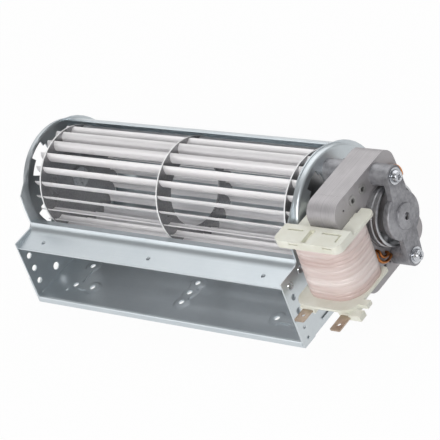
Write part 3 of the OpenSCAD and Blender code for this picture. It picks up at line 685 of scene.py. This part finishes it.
def soften(node, name, width, coat, steps=2, sharp=32, smooth=35):
    """Stands a merged copy of a CAD piece with rounded edges in its place."""
    bpy.ops.object.select_all(action="DESELECT")
    piece = bpy.data.objects.new(name, nodes[node].data.copy())
    piece.data.name = name
    bpy.context.collection.objects.link(piece)
    piece.select_set(True)
    bpy.context.view_layer.objects.active = piece
    bpy.ops.object.mode_set(mode="EDIT")
    bpy.ops.mesh.select_all(action="SELECT")
    bpy.ops.mesh.remove_doubles(threshold=WELD)
    bpy.ops.mesh.dissolve_limited(angle_limit=FLAT, delimit=set())
    modify(piece, "BEVEL", width=width, segments=steps, limit_method="ANGLE",
           angle_limit=math.radians(sharp), use_clamp_overlap=True, miter_outer="MITER_ARC")
    finish_piece(piece, coat, "housing", node, smooth)
    modify(piece, "WEIGHTED_NORMAL", keep_sharp=True)


soften("bobbin", "moulded_bobbin", 0.35 * MM, bobbin_nylon)
soften("outer_bracket", "outer_bracket_casting", 0.5 * MM, cast_zinc, steps=3)
soften("inner_bracket", "inner_bracket_casting", 0.5 * MM, cast_zinc, steps=3)
soften("bracket_screws", "bright_long_screws", 0.3 * MM, bright_zinc)
soften("bracket_washers", "bright_washers", 0.15 * MM, bright_zinc)
soften("motor_screws", "short_motor_screws", 0.25 * MM, bright_zinc)
soften("stator_yoke", "yoke_stack", 0.2 * MM, core_steel)
soften("coil_core", "leg_stack", 0.2 * MM, core_steel)
soften("terminal_tabs", "push_on_tabs", 0.15 * MM, tin_plate)
soften("left_grommet", "bearing_grommet", 0.4 * MM, rubber)
soften("lip_plate", "outlet_lip", 0.15 * MM, housing_coat)
soften("scroll_sheet", "folded_scroll", 0.15 * MM, housing_coat,
       sharp=50, smooth=50)             # the scroll's own curve has wider facets
soften("left_end_plate", "left_pressing", 0.15 * MM, plate_coat)
soften("right_end_plate", "right_pressing", 0.15 * MM, plate_coat)

# %% [markdown]
# ## The copper loops
#
# Each shaded pole horn carries two closed loops of thick bare copper wire, which give the
# motor its direction of turning. A loop goes through the stack twice and bows over each
# face round the same centre. A round curve with a bevel would give such a wire too. Spun
# by hand, every ring of the mesh stays square to the wire, and each bend is as long as it
# is told: a circle is drawn along one leg, spun round a tight corner, round the bow and
# round the next corner, four corners in all, until it meets itself.

# %% Spin the copper loops
HORN_ANGLES = (45, 225)
HORN_R = 17.6 * MM                          # from the shaft to the loops' centre
BOW_RADII = (4 * MM, 6.6 * MM)
BOW_HALF = math.radians(70)
CORNER_R = 1.2 * MM
WIRE_R = 0.78 * MM
WIRE_SIDES = 14
CORNER_STEPS, BOW_STEPS = 5, 14
STAND = 1.8 * MM                            # of the bows' middle above the stack's faces
QUARTER = math.pi / 2


def around(angle):
    """The unit vector at this angle in the plane across the shaft."""
    return Vector((0, math.cos(angle), math.sin(angle)))


def turn(steps, angle, centre, axis):
    """Spins what is selected right-handedly; the tool's own angle runs the other way."""
    bpy.ops.mesh.spin(steps=steps, angle=-angle, center=centre, axis=axis)


def spin_loop(name, horn, bow_r):
    """Draws one closed loop; each pass of its for makes one leg, two corners and a bow."""
    centre = Vector((0, 0, AXIS_Z)) + around(horn) * HORN_R
    start = horn - BOW_HALF + math.atan(CORNER_R / bow_r)
    end = 2 * horn - start
    low, high = yoke_low.x - STAND, yoke_high.x + STAND
    along = Vector((1, 0, 0))

    def corner(at, x, way):
        """The middle of the corner at this end of a bow, and the way along the bow there."""
        middle = centre + around(at) * bow_r
        middle.x = x - CORNER_R * way
        return middle, around(at + QUARTER) * way

    leg = centre + around(start) * bow_r - around(start + QUARTER) * CORNER_R
    leg.x = low + CORNER_R
    loop = begin(name, bpy.ops.mesh.primitive_circle_add, radius=WIRE_R, vertices=WIRE_SIDES,
                 location=leg, rotation=(0, QUARTER, 0))
    run = high - low - 2 * CORNER_R
    for x, way, first, last in ((high, 1, start, end), (low, -1, end, start)):
        bpy.ops.mesh.extrude_region_move(TRANSFORM_OT_translate={"value": along * run * way})
        middle, forward = corner(first, x, way)
        turn(CORNER_STEPS, QUARTER, middle, (along * way).cross(forward))
        turn(BOW_STEPS, (end - start) * way, Vector((x, centre.y, centre.z)), along)
        middle, forward = corner(last, x, way)
        turn(CORNER_STEPS, QUARTER, middle, forward.cross(along * -way))
    bpy.ops.mesh.select_all(action="SELECT")
    bpy.ops.mesh.remove_doubles(threshold=0.02 * MM)
    bpy.ops.mesh.normals_make_consistent(inside=False)
    bpy.ops.object.mode_set(mode="OBJECT")
    return loop


loops = [spin_loop(f"copper_loop_{i}{j}", math.radians(horn), radius)
         for i, horn in enumerate(HORN_ANGLES) for j, radius in enumerate(BOW_RADII)]
for loop in loops:
    finish_piece(loop, copper, "housing", "shading_rings")

# %% [markdown]
# ## The floor
#
# A sheet of white card lies under the blower. Lit by the panels alone it would be grey
# beside the room's white, and more light would wash out the metal. A card on a light table
# glows a little by itself, and so does this one: to the camera and to mirror-like rays it
# is mostly plain white, and the rest of it is ordinary card that keeps a trace of the
# blower's soft shadow.

# %% Lay the floor
CARD_GLOW = 0.96
CARD_SIZE = 8
CARD_GAP = 0.0002                           # clear of the blower's lowest face
bpy.ops.object.select_all(action="DESELECT")
bpy.ops.mesh.primitive_plane_add(size=CARD_SIZE, location=(0, 0, cad_box[0].z - CARD_GAP))
floor = bpy.context.object
floor.name = "studio_floor"
card = Finish("white_card", base_color=(0.9, 0.9, 0.9, 1), roughness=0.9)
ray = card.node("LightPath", out="Is Camera Ray") + card.node("LightPath", out="Is Glossy Ray")
glow = card.node("Emission", {}, {"Color": WHITE, "Strength": 1.0})
shown = card.node("MixShader", {},
                  {0: ray * CARD_GLOW, 1: Value(card, card.shader.outputs[0]), 2: glow})
card.tree.links.new(shown.socket, card.tree.nodes["Material Output"].inputs["Surface"])
floor.data.materials.append(card.material)
print("the card lies", round((cad_box[0].z - floor.location.z) / MM, 2), "mm under the blower")
